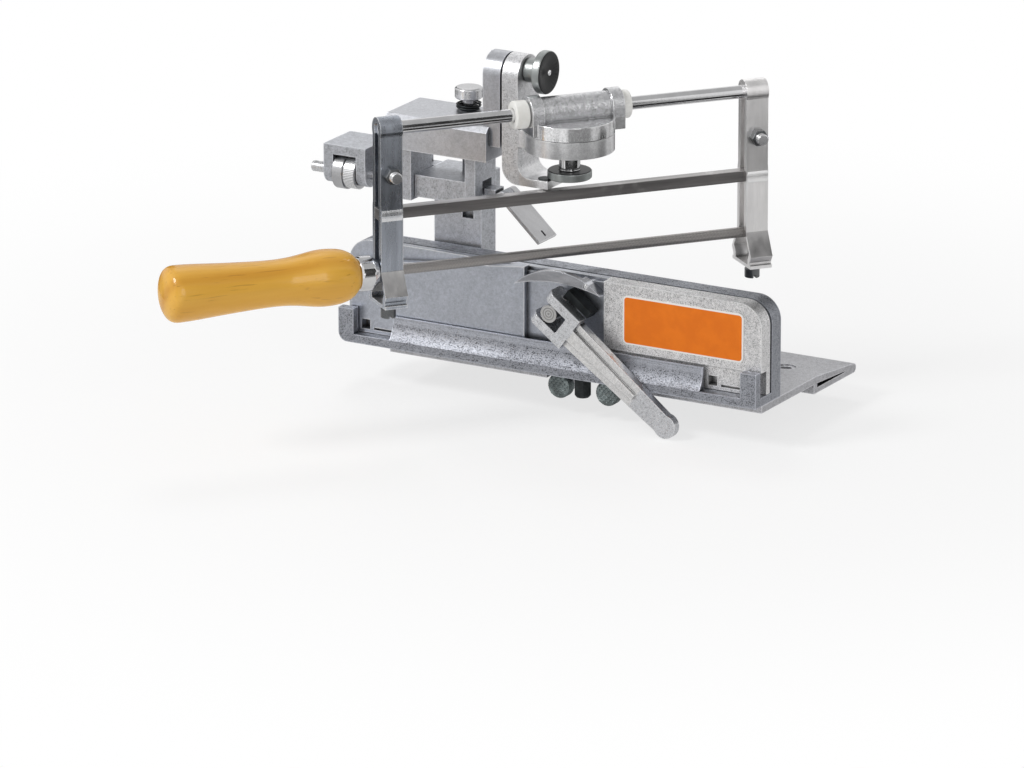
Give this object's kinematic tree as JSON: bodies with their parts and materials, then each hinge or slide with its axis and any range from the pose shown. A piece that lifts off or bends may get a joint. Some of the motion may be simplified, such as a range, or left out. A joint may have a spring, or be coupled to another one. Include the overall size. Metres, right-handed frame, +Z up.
{
  "type": "chainsaw file guide",
  "caption": "Bench-mounted chainsaw file guide: clamping rail, height post, tilting swivel arm and a sliding frame that carries a round file with a wooden handle.",
  "frame": {"origin": "on the bench face, under the swivel axis and in the plane of the rail's groove", "axes": "+X along the rail to the right, +Y away from the user, +Z up"},
  "size_m": [0.2412, 0.2408, 0.1674],
  "materials": {
    "cast_metal": "cast, lightly brushed",
    "bright_steel": "satin",
    "dark_steel": "blackened",
    "black_plastic": "satin",
    "plated_steel": "polished",
    "white_nylon": "matte",
    "orange_label": "satin",
    "varnished_wood": "glossy varnish"
  },
  "bodies": {
    "base": {"rail_body": "cast_metal", "base_plate": "cast_metal", "rail_bolt": "dark_steel", "plate_screws": "dark_steel", "jaw_pins": "bright_steel", "clamp_stud": "bright_steel", "stud_nut": "bright_steel", "column_post": "cast_metal", "post_screws": "dark_steel", "adjuster_bracket": "cast_metal"},
    "edge_left": {"edge_screw_left": "dark_steel"},
    "edge_right": {"edge_screw_right": "dark_steel"},
    "lever": {"clamp_lever": "bright_steel", "cam_block": "dark_steel", "lever_pin": "bright_steel"},
    "jaw": {"front_jaw": "cast_metal", "label_plate": "orange_label", "hood_leaf": "bright_steel", "hood_rivet": "bright_steel"},
    "nut": {"adjuster_nut": "bright_steel"},
    "stop_slide": {"adjuster_spindle": "bright_steel", "pawl_bar": "dark_steel"},
    "pawl": {"stop_pawl": "bright_steel", "pawl_pin": "bright_steel"},
    "housing": {"slide_housing": "cast_metal", "tilt_bolt": "bright_steel"},
    "height_knob": {"height_screw": "plated_steel"},
    "arm": {"tilt_arm": "cast_metal", "rest_screw": "dark_steel"},
    "tilt_lock": {"tilt_knob": "black_plastic"},
    "head": {"swivel_head": "cast_metal", "swivel_stud": "bright_steel"},
    "turn_lock": {"clamp_knob": "black_plastic"},
    "bushes": {"front_bush": "white_nylon", "rear_bush": "white_nylon"},
    "frame": {"guide_rod": "plated_steel", "flat_bar": "dark_steel", "round_file": "dark_steel", "front_bracket": "bright_steel", "rear_bracket": "bright_steel", "bracket_bolts": "bright_steel", "bracket_nuts": "bright_steel", "file_screws": "bright_steel", "ferrule": "plated_steel", "handle": "varnished_wood"}
  },
  "joints": [
    {"name": "lever_open", "type": "hinge", "parent": "base", "child": "lever", "pos_m": [0.0003, -0.0141, 0.039], "axis": [-0.6018, 0, -0.7986], "range_deg": [0, 100.5]},
    {"name": "jaw_open", "type": "slide", "parent": "base", "child": "jaw", "axis": [0, -1, 0], "range_m": [0, 0.0006]},
    {"name": "edge_left_turn", "type": "hinge", "parent": "base", "child": "edge_left", "pos_m": [-0.0006, 0, 0.0017], "axis": [0, 1, 0], "continuous": true},
    {"name": "edge_right_turn", "type": "hinge", "parent": "base", "child": "edge_right", "pos_m": [0.0244, 0, 0.0017], "axis": [0, 1, 0], "continuous": true},
    {"name": "stop_nut_turn", "type": "hinge", "parent": "base", "child": "nut", "pos_m": [-0.117, 0.003, 0.0842], "axis": [1, 0, 0], "range_deg": [-2167, 187]},
    {"name": "stop_travel", "type": "slide", "parent": "base", "child": "stop_slide", "axis": [1, 0, 0], "range_m": [-0.006, 0.0005]},
    {"name": "pawl_lift", "type": "hinge", "parent": "stop_slide", "child": "pawl", "pos_m": [-0.0352, 0.003, 0.0842], "axis": [0, -1, 0], "range_deg": [0, 30]},
    {"name": "height_travel", "type": "slide", "parent": "base", "child": "housing", "axis": [0, 0, 1], "range_m": [-0.003, 0.003]},
    {"name": "height_screw_turn", "type": "hinge", "parent": "housing", "child": "height_knob", "pos_m": [-0.0602, 0.013, 0.12], "axis": [0, 0, 1], "range_deg": [-1087, 1087]},
    {"name": "arm_tilt", "type": "hinge", "parent": "housing", "child": "arm", "pos_m": [-0.026, 0, 0.146], "axis": [1, 0, 0], "range_deg": [-5, 5]},
    {"name": "tilt_knob_turn", "type": "hinge", "parent": "housing", "child": "tilt_lock", "pos_m": [-0.015, 0, 0.146], "axis": [1, 0, 0], "continuous": true},
    {"name": "head_swivel", "type": "hinge", "parent": "arm", "child": "head", "pos_m": [0, 0, 0.12], "axis": [0, 0, 1], "range_deg": [-4, 64]},
    {"name": "clamp_knob_turn", "type": "hinge", "parent": "head", "child": "turn_lock", "pos_m": [0, 0, 0.1], "axis": [0, 0, 1], "continuous": true},
    {"name": "frame_swing", "type": "hinge", "parent": "head", "child": "bushes", "pos_m": [0, 0, 0.1303], "axis": [-0.6293, -0.7771, 0], "range_deg": [0, 60]},
    {"name": "file_stroke", "type": "slide", "parent": "bushes", "child": "frame", "axis": [0.6293, 0.7771, 0], "range_m": [-0.045, 0.045]}
  ],
  "couplings": [
    {"joint": "lever_open", "follows": "jaw_open", "rad_per_m": 2908.9},
    {"joint": "stop_nut_turn", "follows": "stop_travel", "rad_per_m": 6283.2},
    {"joint": "height_screw_turn", "follows": "height_travel", "rad_per_m": 6283.2}
  ]
}
